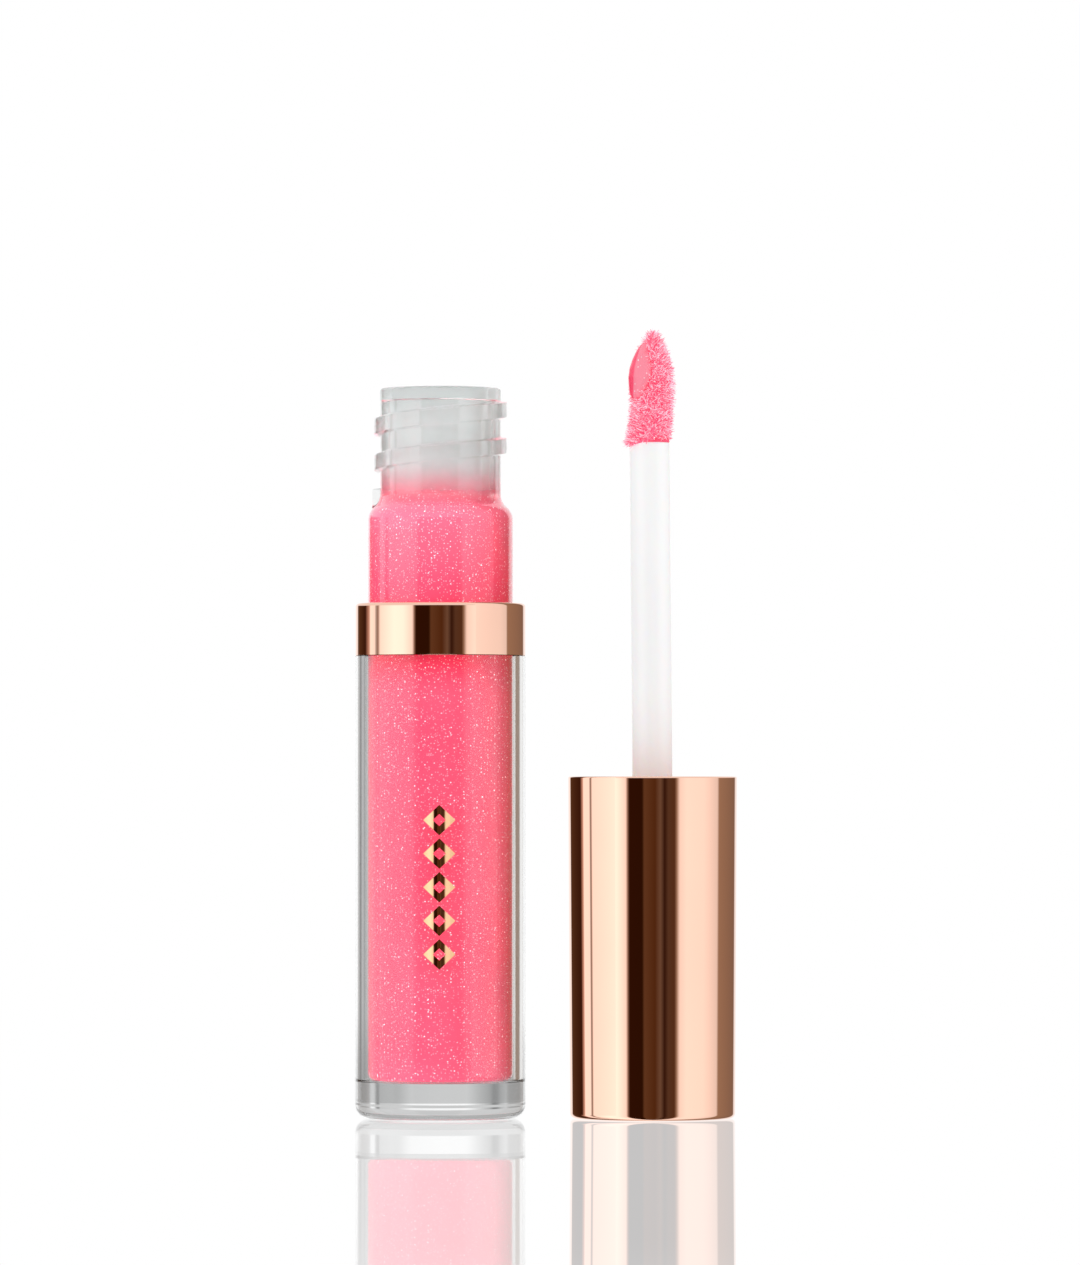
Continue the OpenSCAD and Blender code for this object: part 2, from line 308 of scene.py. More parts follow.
def glitter_glints_and_painted_shade(t, shader, colour):
    """Fine glitter in the gloss, whose flakes also glow as painted glints, painted shade as deeper pink
    beside the metal band (mostly under it, where the band shades the gloss), a paler pink higher up, and
    an upper edge that thins out up the neck."""
    z = t.xyz()[2]
    low, high = band.z0 * MM, band.z1 * MM
    # Painted shade: deeper pink from about 4.6 mm under the metal band up to just above it, where the band
    # shades the gloss.
    below = t.span(z, low - 0.0046, low - 0.0003, 0.0, 0.72)
    shade = t.math("MULTIPLY", below, t.span(z, low, high + 0.001, 1.0, 0.0))
    colour = t.mix(t.span(z, high + 0.001, high + 0.006, 0.0, 0.1), colour, rgba((1.0, 0.62, 0.66)))
    colour = t.mix(shade, colour, rgba((0.9, 0.035, 0.12)))
    fine = sparkle(t, 0.00019, 0.45, 0.4)
    small = sparkle(t, 0.0003, 0.32, 0.28, 0.021)
    large = sparkle(t, 0.0009, 0.12, 0.11, 0.013)
    colour = t.mix(t.math("MULTIPLY", fine, 0.9), colour, rgba((1.0, 0.62, 0.7)))
    colour = t.mix(small, colour, rgba((1.0, 0.85, 0.9)))
    colour = t.mix(large, colour, rgba((1.0, 0.95, 0.96)))
    # Painted glints: the glitter flakes also glow, so they shine whatever the lamps do; their pale colour
    # is the glitter's own.
    glow = t.math("MAXIMUM", t.math("MULTIPLY", small, 0.6), large)
    t.link(t.math("MULTIPLY", glow, 0.8), shader.inputs["Emission Strength"])
    shader.inputs["Emission Color"].default_value = (1.0, 0.85, 0.88, 1.0)
    wave = t.math("MULTIPLY", t.math("SUBTRACT", t.noise(900, 3.0), 0.5), 0.0007)
    cover = t.span(t.math("ADD", z, wave), FADE[0] * MM, FADE[1] * MM, 1.0, 0.0, "LINEAR")
    t.link(t.math("POWER", cover, 2.0), shader.inputs["Alpha"])
    return colour


def bead_colour(t, shader, colour):
    """The bead on the spoon face is deeper pink over one side of its pointed oval and carries glitter."""
    deep = t.node("ShaderNodeAttribute", attribute_name="deep").outputs["Fac"]
    colour = t.mix(deep, colour, rgba((0.97, 0.06, 0.15)))
    glitter = sparkle(t, 0.0003, 0.25, 0.3, 0.02)
    bright = t.math("MULTIPLY", glitter, t.math("SUBTRACT", 1.0, deep))
    return t.mix(bright, colour, rgba((1.0, 0.9, 0.92)))


def flock_colour_and_painted_glow(t, shader, colour):
    """Each fibre has a shade of its own and is drawn paler towards its end as painted light; the whole
    coat also glows faintly in its own colour as painted light.
    """
    shade = t.node("ShaderNodeAttribute", attribute_name="shade").outputs["Fac"]
    glitter = sparkle(t, 0.0004, 0.28, 0.26, 0.03)
    colour = t.mix(shade, rgba((1.0, 0.07, 0.19)), rgba((1.0, 0.82, 0.9)))
    colour = t.mix(glitter, colour, rgba((1.0, 0.97, 0.98)))
    # Painted light: the flock glows in its own colour, standing in for light passing through the fibres.
    t.link(colour, shader.inputs["Emission Color"])
    shader.inputs["Emission Strength"].default_value = 0.22
    return colour


def foil_dome(t, shader, colour):
    """The foil stands proud in its middle, so it mirrors more of the room than the bottle does."""
    off = t.math("SUBTRACT", t.xyz()[0], BOTTLE_X * MM)
    height = t.math("MULTIPLY", t.math("MULTIPLY", off, off), -220.0)
    t.link(t.bump(height, 1.0), shader.inputs["Normal"])
    return colour


mats = {
    "clear_acrylic": surface(
        "clear_acrylic", [(0.985, 0.99, 0.99), (0.97, 0.98, 0.982)], (0.004, 0.012), 240, 4e-7,
        Transmission_Weight=1.0, IOR=1.49, Specular_Tint=(0.55, 0.55, 0.55, 1),
    ),
    "clear_vial": surface(
        "clear_vial", [(0.985, 0.99, 0.99), (0.97, 0.98, 0.98)], (0.004, 0.015), 260, 6e-7,
        Transmission_Weight=1.0, IOR=1.33, Specular_Tint=(0.8, 0.8, 0.8, 1),
        Coat_Weight=0.7, Coat_Roughness=0.01, Coat_IOR=1.5,
    ),
    "rose_gold": surface(
        "rose_gold", [GOLD, (0.895, 0.57, 0.44)], (0.004, 0.014), 700, 1e-7,
        Metallic=1.0,
    ),
    "rose_gold_foil": surface(
        "rose_gold_foil", [(0.78, 0.48, 0.27), (0.81, 0.51, 0.3)], (0.05, 0.1), 1500, 2e-7,
        extra=foil_dome, Metallic=1.0,
    ),
    "pink_gloss": surface(
        "pink_gloss", [PINK, PINK_DEEP], (0.3, 0.5), 900, 1e-5, extra=glitter_glints_and_painted_shade,
        Specular_IOR_Level=0.0,
    ),
    "pink_bead": surface(
        "pink_bead", [(0.99, 0.29, 0.375), (0.98, 0.26, 0.35)], (0.16, 0.24), 1400, 1e-6,
        extra=bead_colour, IOR=1.35,
    ),
    "natural_plastic": surface(
        "natural_plastic", [(0.81, 0.84, 0.835), (0.78, 0.81, 0.805)], (0.12, 0.2), 300, 5e-7,
        Transmission_Weight=0.72, IOR=1.4, Specular_Tint=(0.5, 0.5, 0.5, 1),
    ),
    "white_plastic": surface(
        "white_plastic", [(0.955, 0.955, 0.955), (0.93, 0.93, 0.935)], (0.3, 0.42), 900, 3e-6,
        Subsurface_Weight=0.2, Subsurface_Scale=0.0008,
        # Painted light: a faint white glow that brightens the plastic.
        Emission_Color=(1, 1, 1, 1), Emission_Strength=0.025,
    ),
    "liner_foam": surface(
        "liner_foam", [(0.94, 0.94, 0.925), (0.88, 0.88, 0.86)], (0.65, 0.85), 2600, 2e-5,
    ),
    "soft_tip": surface(
        "soft_tip", [(0.96, 0.1, 0.2), (0.92, 0.08, 0.17)], (0.5, 0.65), 1200, 1e-5,
    ),
    "flock": surface(
        "flock", [(0.9, 0.2, 0.3), (0.85, 0.15, 0.25)], (0.55, 0.8), 4000, 1.5e-5,
        extra=flock_colour_and_painted_glow,
    ),
}


def place(obj, body, slot, *nodes, material=None):
    obj.data.materials.append(mats[material or slot])
    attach(obj, body)
    if nodes:
        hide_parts(*nodes)
    return obj


# ---------------------------------------------------------------- bottle


def make_shell():
    """Outer bottle: thick clear base, thin wall, rebate under the collar."""
    r, rim = shell.r, shell.z1
    rebate = r - SKIRT
    bore = r - WALL
    base = vial.z0
    profile = [(0, 0)]
    profile += arc(r - CORNER, CORNER, CORNER, -90, 0, 20)
    profile += [(r, band.z0), (rebate, band.z0), (rebate, rim), (bore, rim)]
    profile += arc(bore - CAVITY_CORNER, base + CAVITY_CORNER, CAVITY_CORNER, 0, -90, 20)
    profile += [(0, base)]
    return lathe("bottle_shell", BOTTLE_X, profile, 256)


def make_collar():
    """Metal band: skirt over the bottle's rim, flange in to the vial."""
    r, edge = band.r, 0.35
    inner = r - SKIRT - OVERLAP
    profile = [(inner, band.z0 + 0.03), (inner + 0.06, band.z0), (r - 0.05, band.z0), (r, band.z0 + 0.05)]
    profile += arc(r - edge, band.z1 - edge, edge, 0, 90, 10)
    profile += [
        (VIAL_R + 0.12, band.z1), (VIAL_R + 0.05, band.z1 - 0.07),
        (VIAL_R + 0.05, band.z1 - FLANGE), (inner, band.z1 - FLANGE),
    ]
    return lathe("collar_band", BOTTLE_X, profile, 256, close=True)


def shoulder(inset, pitch=0.06):
    """The vial's side from the wall up to the neck, as (r, z) rows at an even pitch."""
    r_in, r_up = TURN_IN - inset, TURN_UP + inset
    cx, ux = VIAL_R - TURN_IN, NECK_R + TURN_UP
    z_join = SHOULDER_Z + r_in * math.sin(TURN)
    rows = []
    for z in steps(SHOULDER_Z, NECK_Z, pitch):
        if z < z_join:
            rows.append((cx + math.sqrt(r_in**2 - (z - SHOULDER_Z) ** 2), z))
        else:
            rows.append((ux - math.sqrt(r_up**2 - (NECK_Z - z) ** 2), z))
    return rows


# Screw thread: rise per turn, height at bearing 0, bearings of its ends in degrees, how far it
# stands out, and half its height at the root and at the crest
THREAD = {
    "lead": 3.6, "z0": vial.z1 - 8.05, "from": 150, "to": 780, "fade": 30,
    "depth": 0.6, "root": 0.92, "crest": 0.72,
}
# Stop lug: radius of its face, half its width, its heights and the softness of its edges
LUG = {"reach": 6.83, "half": 0.6, "z0": 60.7, "z1": 62.85, "edge": 0.08}


def vial_swell(r, z, angle):
    """Adds the screw thread and the stop lug to the vial's outer wall."""
    if r < BORE_R + 0.5 or z < SHOULDER_Z:
        return r
    degrees = math.degrees(angle)
    for turn in range(3):
        a = degrees + 360 * turn
        if THREAD["from"] <= a <= THREAD["to"]:
            off = abs(z - THREAD["z0"] - THREAD["lead"] * a / 360)
            fade = smooth(min(a - THREAD["from"], THREAD["to"] - a) / THREAD["fade"])
            rise = smooth((THREAD["root"] - off) / (THREAD["root"] - THREAD["crest"]))
            r = max(r, NECK_R + THREAD["depth"] * rise * fade) if rise * fade > 0 else r
    if math.cos(angle) < -0.9:
        side = abs(LUG["reach"] * math.sin(angle))
        e = LUG["edge"]
        f = smooth((LUG["half"] - side) / e + 0.5)
        f *= smooth((z - LUG["z0"]) / e + 0.5) * smooth((LUG["z1"] - z) / e + 0.5)
        r = max(r, r + (LUG["reach"] - r) * f)
    return r


def vial_inside(grow=0.0):
    """Inside of the vial from the middle of its floor up to the neck's bore."""
    bore, floor, turn = VIAL_R - VIAL_WALL + grow, vial.z0 + 0.22 - grow, 0.45
    rows = [(0, floor)] + arc(bore - turn, floor + turn, turn, -90, 0, 10)
    return rows + [(r + grow, z) for r, z in shoulder(VIAL_WALL, 0.12)]


def make_vial():
    """Inner vial with shoulder, threaded neck and lug, as one closed wall."""
    gap = 0.05
    profile = [(0, vial.z0 + gap)]
    profile += arc(VIAL_R - VIAL_CORNER, vial.z0 + gap + VIAL_CORNER, VIAL_CORNER, -90, 0, 18)
    profile += shoulder(0)
    profile += [(NECK_R, z) for z in steps(NECK_Z, vial.z1, 0.06)[1:]]
    inside = [(BORE_R, vial.z1 - 0.1)] + list(reversed(vial_inside()))
    profile += [(BORE_R + 0.1, vial.z1)] + inside
    return lathe("vial_wall", BOTTLE_X, profile, 320, swell=vial_swell, sharp=50)


# Wiper: sleeve radius and lower end, opening of the stripping lip, mouth and bore; top of the film
SLEEVE_R, SLEEVE_Z, LIP_R = 4.75, 61.5, 2.05
MOUTH_R, PLUG_BORE_R = 4.25, 3.9
FILM_TOP = 65.9


def make_gloss():
    """The gloss, and the film of it that stands in the neck round the wiper."""
    inner = SLEEVE_R - OVERLAP
    lip = LIP_R + 0.65
    profile = vial_inside(OVERLAP)
    profile += [(BORE_R + OVERLAP, z) for z in steps(NECK_Z, FILM_TOP, 0.5)[1:]]
    profile += [(inner, FILM_TOP), (inner, SLEEVE_Z + 0.3), (inner - 0.3, SLEEVE_Z)]
    profile += [(lip, plug.z0), (0, plug.z0 - 0.02)]
    return lathe("gloss_body", BOTTLE_X, profile, 192)


def make_wiper():
    """Wiper: flange on the neck, plug, sleeve and the cone with its stripping lip."""
    top, edge = plug.z1, 0.25
    plug_z = top - 5.25
    r = BORE_R + OVERLAP / 2
    profile = arc(plug.r - edge, top - edge, edge, 0, 90, 8)
    profile += arc(MOUTH_R + 0.12, top - 0.12, 0.12, 90, 180, 6)
    profile += [(PLUG_BORE_R, plug_z), (PLUG_BORE_R, SLEEVE_Z + 0.4), (PLUG_BORE_R - 0.15, SLEEVE_Z + 0.2)]
    profile += [(LIP_R + 0.02, plug.z0 + 0.8), (LIP_R, plug.z0 + 0.7), (LIP_R, plug.z0 + 0.1)]
    profile += [(LIP_R + 0.1, plug.z0), (LIP_R + 0.6, plug.z0), (LIP_R + 0.65, plug.z0 + 0.05)]
    profile += arc(SLEEVE_R - 0.5, SLEEVE_Z + 0.25, 0.5, -50, 0, 6)
    profile += [(SLEEVE_R, SLEEVE_Z + 0.5), (r, SLEEVE_Z + 0.8), (r, vial.z1 + 0.01)]
    profile += [(plug.r, vial.z1 + 0.01)]
    return lathe("wiper_plug", BOTTLE_X, profile, 192, close=True)


def make_foil():
    """The column of foil lozenges on the bottle's front, each a thin plate with an open middle."""
    count, pitch = 5, 3.32
    lo, hi = foil_lo / MM, foil_hi / MM
    half_w = (hi.x - lo.x) / 2
    height = hi.z - lo.z - pitch * (count - 1)
    r_in, r_out = shell.r + 0.004, -lo.y
    verts, faces = [], []
    per_side, across, opening = 10, 4, 0.4

    def at(x, z, r):
        a = x / shell.r
        return (BOTTLE_X + r * math.sin(a), -r * math.cos(a), z)

    for k in range(count):
        zc = lo.z + height / 2 + pitch * k
        corners = [(-half_w, 0), (0, -height / 2), (half_w, 0), (0, height / 2)]
        loop = []
        for i in range(4):
            (x0, z0), (x1, z1) = corners[i], corners[(i + 1) % 4]
            for s in range(per_side):
                f = s / per_side
                loop.append((x0 + (x1 - x0) * f, z0 + (z1 - z0) * f))
        n = len(loop)
        start = len(verts)
        for j in range(across + 1):
            scale = 1 + (opening - 1) * j / across
            for r in (r_out, r_in):
                verts.extend(at(x * scale, zc + z * scale, r) for x, z in loop)
        for j in range(across):
            for i in range(n):
                i2 = (i + 1) % n
                for side in (0, 1):
                    a = start + (2 * j + side) * n
                    b = start + (2 * j + 2 + side) * n
                    faces.append((a + i, a + i2, b + i2, b + i))
        for j in (0, across):
            a = start + 2 * j * n
            for i in range(n):
                i2 = (i + 1) % n
                faces.append((a + i, a + n + i, a + n + i2, a + i2))
    return finish_mesh("foil_lozenges", verts, faces, 30)


place(make_shell(), "bottle", "clear_acrylic", "outer_bottle")
place(make_collar(), "bottle", "rose_gold", "collar")
place(make_vial(), "bottle", "clear_vial", "inner_vial")
place(make_gloss(), "bottle", "pink_gloss", "gloss_fill")
place(make_wiper(), "bottle", "natural_plastic", "wiper")
place(make_foil(), "bottle", "rose_gold_foil", "foil_motif")


# ---------------------------------------------------------------- cap and wand


def make_cap():
    """Metal overcap: a slightly tapered cup, open at the top as it stands."""
    end_r, rim_r, top = 8.25, cap.r, cap.z1
    corner, rim = 0.5, 0.15
    inner_top, inner_low = rim_r - SKIRT, end_r - SKIRT
    profile = [(0, cap.z0)] + arc(end_r - corner, corner, corner, -90, 0, 12)
    profile += [(end_r + (rim_r - end_r) * f, top * f) for f in (0.25, 0.5, 0.75)]
    profile += arc(rim_r - rim, top - rim, rim, 0, 90, 6)
    profile += arc(inner_top + 0.1, top - 0.1, 0.1, 90, 180, 5)
    profile += [(inner_low + 0.004, 0.6), (0, 0.6)]
    return lathe("cap_shell", CAP_X, profile, 256, sharp=40)


def stem_lean(z):
    """Share of the stem's lean reached at a height."""
    return clamp((z - cap.z1) / (STEM_TOP - cap.z1))


def make_stem():
    """Wand stem: barbed foot, flange on the deck, shaft and the socket for the tip."""
    r, foot, top = 2.0, stem.z0, stem.z1
    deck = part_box("sealing_liner")[0].z / MM - 0.05
    flange = stem.r
    profile = [(0, foot), (r - 0.3, foot), (2.35, foot + 1.0), (r, foot + 1.02), (r, deck - 0.01)]
    profile += [(flange, deck), (flange, deck + 0.7), (flange - 0.1, deck + 0.8), (r + 0.15, deck + 0.8)]
    profile += arc(r + 0.15, deck + 0.95, 0.15, -90, -180, 5)
    profile += [(r, z) for z in steps(deck + 1.1, top - 0.12, 8)]
    profile += arc(r - 0.12, top - 0.12, 0.12, 0, 90, 5)
    profile += [(1.15, top), (1.15, top - 5.8), (0, top - 5.8)]
    shaft = lathe("wand_shaft", CAP_X, profile, 128)
    for v in shaft.data.vertices:
        v.co.x -= LEAN * MM * stem_lean(v.co.z / MM)
    return shaft


# Height above the stem's end, radius on the right and radius on the left, out to the fibres' ends
TIP = [
    (-0.25, 2.1, 2.75), (0.6, 2.0, 2.62), (1.6, 1.96, 2.42), (2.7, 1.98, 2.25), (3.7, 2.08, 2.16),
    (5.1, 2.19, 2.3), (6.5, 2.12, 2.38), (7.5, 1.99, 2.24), (8.4, 1.8, 1.93), (9.3, 1.5, 1.5),
    (9.95, 1.2, 1.1), (10.5, 0.88, 0.72), (10.85, 0.58, 0.45), (11.05, 0.1, 0.1),
]
# How deep the mat under the fibres lies below their ends
NAP = 0.44
# The bead's pointed oval: its heights above the stem's end and half its width as an angle
LENS = {"low": 4.1, "high": 10.3, "half": 1.02}


def tip_radii(h):
    """Radius on the right and on the left at a height above the stem's end."""
    for (h0, a0, b0), (h1, a1, b1) in zip(TIP, TIP[1:]):
        if h <= h1:
            f = clamp((h - h0) / (h1 - h0))
            return a0 + (a1 - a0) * f, b0 + (b1 - b0) * f
    return TIP[-1][1:]


def tip_r(h, angle):
    right, left = tip_radii(h)
    w = (1 + math.cos(angle)) / 2
    return left + (right - left) * w


def tip_point(h, angle, inset=0.0):
    r = max(0.0, tip_r(h, angle) - inset)
    return Vector((CAP_X + r * math.cos(angle), r * math.sin(angle), STEM_TOP + h))


def in_lens(h, angle, margin=0.0):
    """How far inside the bead's pointed oval a place lies: 1 in its middle, 0 on its edge."""
    mid = (LENS["low"] + LENS["high"]) / 2
    span = (LENS["high"] - LENS["low"]) / 2 + margin
    u = (h - mid) / span
    if abs(u) >= 1:
        return -1.0
    centre = math.pi + TIP_TURN
    off = (angle - centre + math.pi) % (2 * math.pi) - math.pi
    half = LENS["half"] * (1 - u * u) ** 0.75 + margin / 2
    return 1 - abs(off) / half


def hem(angle):
    """Height above the stem's end at which the flock's slanted lower edge lies."""
    return 0.3 - 0.72 * ((1 - math.cos(angle)) / 2) ** 2.5


def make_core():
    """Soft tip under the flock: a tapering core on a plug in the stem's socket, leaning with it."""
    profile = [(0, -5.75), (1.13, -5.75), (1.13, 0), (1.95, 0), (1.92, 0.3), (1.72, 0.8), (1.4, 1.6)]
    profile += [(1.35, 4), (1.3, 6.5), (1.1, 8.2), (0.6, 9.6), (0.2, 10.1), (0, 10.2)]
    core = lathe("tip_core", CAP_X, [(r, STEM_TOP + h) for r, h in profile], 96)
    for v in core.data.vertices:
        h = v.co.z / MM - STEM_TOP
        v.co.x -= LEAN * MM * (clamp(1 - h / 1.6) if h > 0 else stem_lean(STEM_TOP + h))
    return core


def make_flock():
    """Flocked coat: a closed mat over the core and thousands of short fibres standing on it."""
    rnd = random.Random(SEED)
    sides, rows = 72, 56
    verts, faces, shade = [], [], []
    low, high = TIP[0][0], TIP[-1][0] - 0.25
    verts.append(Vector((CAP_X, 0, STEM_TOP + low + 0.1)))
    shade.append(0.2)
    for j in range(rows + 1):
        for i in range(sides):
            a = 2 * math.pi * i / sides
            h = hem(a) + (high - hem(a)) * j / rows
            sink = NAP + (0.1 if in_lens(h, a) > 0 else 0) + rnd.uniform(-0.03, 0.03)
            verts.append(tip_point(h, a, sink))
            # The mat under the fibres gets the darkest tones: painted shade between the fibres.
            shade.append(rnd.uniform(0, 0.22))
    verts.append(Vector((CAP_X, 0, STEM_TOP + high + 0.02)))
    shade.append(0.3)
    for i in range(sides):
        j = (i + 1) % sides
        faces.append((0, 1 + j, 1 + i))
        last = 1 + rows * sides
        faces.append((len(verts) - 1, last + i, last + j))
        for k in range(rows):
            a = 1 + k * sides
            faces.append((a + i, a + j, a + sides + j, a + sides + i))
    up = Vector((0, 0, 1))
    widest = TIP[0][2]
    count = 5200
    made = 0
    while made < count:
        h = rnd.uniform(low, TIP[-1][0] - 0.12)
        a = rnd.uniform(0, 2 * math.pi)
        if rnd.random() > tip_r(h, a) / widest or in_lens(h, a) > 0.12 or h < hem(a) + 0.05:
            continue
        made += 1
        root = tip_point(h, a, NAP + 0.05)
        d = 0.05
        slope = (tip_r(h + d, a) - tip_r(h - d, a)) / (2 * d)
        out = Vector((math.cos(a), math.sin(a), -slope)).normalized()
        lean = Vector((rnd.gauss(0, 0.38), rnd.gauss(0, 0.38), rnd.gauss(0.0, 0.38)))
        length = rnd.uniform(0.34, 0.8)
        if h < hem(a) + 0.7:
            lean += up * rnd.uniform(-0.5, 0.2)
            length *= rnd.uniform(0.9, 1.3) if math.cos(a) < 0.2 else 0.8
        aim = (out + lean).normalized()
        side = aim.cross(up if abs(aim.z) < 0.9 else Vector((1, 0, 0))).normalized()
        other = aim.cross(side)
        bend = side * rnd.uniform(-0.12, 0.12) + other * rnd.uniform(-0.12, 0.12)
        thick = rnd.uniform(0.032, 0.054)
        tone = clamp(rnd.gauss(0.54, 0.46), 0.0, 1)
        start = len(verts)
        for f, w in ((0, 1.0), (0.55, 0.85), (1.0, 0.45)):
            middle = root + aim * length * f + bend * f * f
            for c in range(3):
                t = 2 * math.pi * c / 3
                verts.append(middle + (side * math.cos(t) + other * math.sin(t)) * thick * w)
                # Painted shade and light: each fibre's random tone is drawn darker at its root and paler
                # at its end.
                shade.append(clamp(tone * (0.55 + 0.6 * f)))
        for low_ring in (start, start + 3):
            for c in range(3):
                c2 = (c + 1) % 3
                faces.append((low_ring + c, low_ring + c2, low_ring + 3 + c2, low_ring + 3 + c))
        faces.append((start + 2, start + 1, start))
        faces.append((start + 6, start + 7, start + 8))
    obj = finish_mesh("flock_nap", verts, faces, 70)
    attribute = obj.data.attributes.new("shade", "FLOAT", "POINT")
    attribute.data.foreach_set("value", shade)
    return obj


def make_bead():
    """The bead of gloss on the spoon face: a smooth pointed oval that bulges out of the flock."""
    rows, columns = 40, 32
    mid = (LENS["low"] + LENS["high"]) / 2
    span = (LENS["high"] - LENS["low"]) / 2
    verts, faces, deep = [], [], []
    for layer in (0, 1):
        for j in range(rows + 1):
            u = -1 + 2 * j / rows
            half = LENS["half"] * max(0.0, 1 - u * u) ** 0.75
            for i in range(columns + 1):
                v = -1 + 2 * i / columns
                a = math.pi + TIP_TURN + v * half
                h = mid + u * span
                body = (1 - u * u) * (1 - v * v)
                inset = NAP + 0.25 if layer else 0.2 - 0.24 * smooth(body * 2.2) ** 0.6
                verts.append(tip_point(h, a, inset))
                deep.append(1 - smooth((v - 0.1) / 0.16))
    n = columns + 1
    layer = (rows + 1) * n
    for j in range(rows):
        for i in range(columns):
            a = j * n + i
            faces.append((a, a + 1, a + n + 1, a + n))
            faces.append((layer + a, layer + a + n, layer + a + n + 1, layer + a + 1))
    for j in range(rows):
        for i in (0, columns):
            a = j * n + i
            faces.append((a, a + n, layer + a + n, layer + a))
    for i in range(columns):
        for j in (0, rows):
            a = j * n + i
            faces.append((a, a + 1, layer + a + 1, layer + a))
    obj = finish_mesh("gloss_lens", verts, faces, 60)
    attribute = obj.data.attributes.new("deep", "FLOAT", "POINT")
    attribute.data.foreach_set("value", deep)
    return obj


place(make_cap(), "applicator", "rose_gold", "overcap")
place(make_stem(), "applicator", "white_plastic", "wand_stem")
place(make_core(), "applicator", "soft_tip", "applicator_tip")
place(make_flock(), "applicator", "flock", "flock_coat")
place(make_bead(), "applicator", "pink_gloss", "gloss_bead", material="pink_bead")

for node, name in (("inner_cap", "white_plastic"), ("sealing_liner", "liner_foam")):
    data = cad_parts[node].data
    data.materials.clear()
    data.materials.append(mats[name])


# ---------------------------------------------------------------- studio

# Bearing in degrees (0 towards the camera, positive to the right) and light, as mirrors see them
BANDS = [
    (-180, 1.1), (-153, 1.1), (-149, (0.2, 0.14, 0.11)), (-144, (0.1, 0.045, 0.02)),
    (-122, (0.045, 0.014, 0.006)), (-117, (0.35, 0.2, 0.15)), (-112, (0.72, 0.5, 0.42)),
    (-109.5, 1.35), (-100, 1.25), (-98, 0.55), (-93.5, (0.28, 0.2, 0.15)), (-89, 1.28),
    (-65, 1.65), (-51, 1.6), (-38, 1.2), (-35, (0.3, 0.2, 0.15)), (-33, (0.03, 0.008, 0.002)),
    (-14.5, (0.028, 0.008, 0.002)), (-12, (0.127, 0.06, 0.027)), (3, (0.09, 0.033, 0.01)),
    (10, (0.16, 0.1, 0.065)), (15.7, (0.035, 0.01, 0.004)), (21, (0.1, 0.053, 0.03)),
    (30, (0.1, 0.045, 0.02)), (33, (0.38, 0.28, 0.2)), (37, 1.12), (47, 1.3), (74, 1.25),
    (99.5, 0.93), (103, (0.36, 0.26, 0.18)), (151, (0.24, 0.16, 0.115)), (156, 1.0),
]
# The same, as clear parts see it through themselves
THROUGH = [
    (-180, 1.0), (-168, 1.0), (-161, 0.66), (-154, 0.4), (-152, 0.2), (-149, 0.24), (-146, 0.45),
    (-141, 0.6), (-137, 0.4), (-120, 0.36), (-113, 0.75), (-90, 0.85), (-40, 0.8), (-30, 0.3),
    (30, 0.3), (40, 0.8), (90, 0.85), (113, 0.75), (121, 0.4), (136, 0.45), (139, 0.9),
    (142, 0.84), (144.5, 0.3), (146, 0.2), (147.5, 0.5), (152, 0.55), (161, 0.6), (168, 0.95),
    (180, 1.0),
]
THROUGH_ABOVE = (0.6, 0.6, 0.6)
# The same, as matt parts see it
SOFT = [(-180, 1.0), (-90, 1.15), (0, 0.9), (90, 1.12), (180, 1.0)]
# The cards between the parts: millimetres along Y and light, as the cap's left side sees them
CARD_FRONT, CARD_BACK, CARD_HEIGHT = -13, 5, 75
CARD_REACH = 0.022
CAP_CARD = [
    (-13, 1.5), (-5.7, 1.28), (-5.35, (0.28, 0.2, 0.15)), (-5.05, 0.55), (-4.9, 1.3),
    (-3.3, 1.3), (-3.05, (0.72, 0.5, 0.42)), (-2.6, (0.35, 0.2, 0.15)),
    (-2.3, (0.045, 0.014, 0.006)), (3.5, (0.1, 0.045, 0.02)), (4.2, 1.1), (5, 1.1),
]
# The same, as the bottle's right side sees them
BOTTLE_CARD = [
    (-13, 1.2), (-6, 1.05), (-4.7, 0.93), (-4.4, (0.36, 0.26, 0.18)), (0.9, (0.24, 0.16, 0.115)),
    (1.8, 1.0), (5, 1.1),
]
# Light on matt parts that lie behind a clear wall
WALL_BOOST = 2.2
# The floor: metres below the parts, share that is mirror, and its shade as seen through clear parts
FLOOR_DROP = 0.00002
FLOOR_MIRROR = 0.45
FLOOR_UNDER_GLASS = (0.3, 0.305, 0.305)
CAMERA = {"distance": 0.78, "height": 0.03375, "aside": -0.00064, "aim": 0.0485, "lens": 222.0}


def ramp(t, share, stops, lo=-180, hi=180):
    """Light by bearing or place. share runs from 0 at lo to 1 at hi."""
    n = t.node("ShaderNodeValToRGB")
    t.link(share, n.inputs[0])
    while len(n.color_ramp.elements) < len(stops):
        n.color_ramp.elements.new(0.5)
    for element, (at, light) in zip(n.color_ramp.elements, stops):
        element.position = (at - lo) / (hi - lo)
        element.color = rgba(light if isinstance(light, tuple) else (light,) * 3)
    return n.outputs[0]


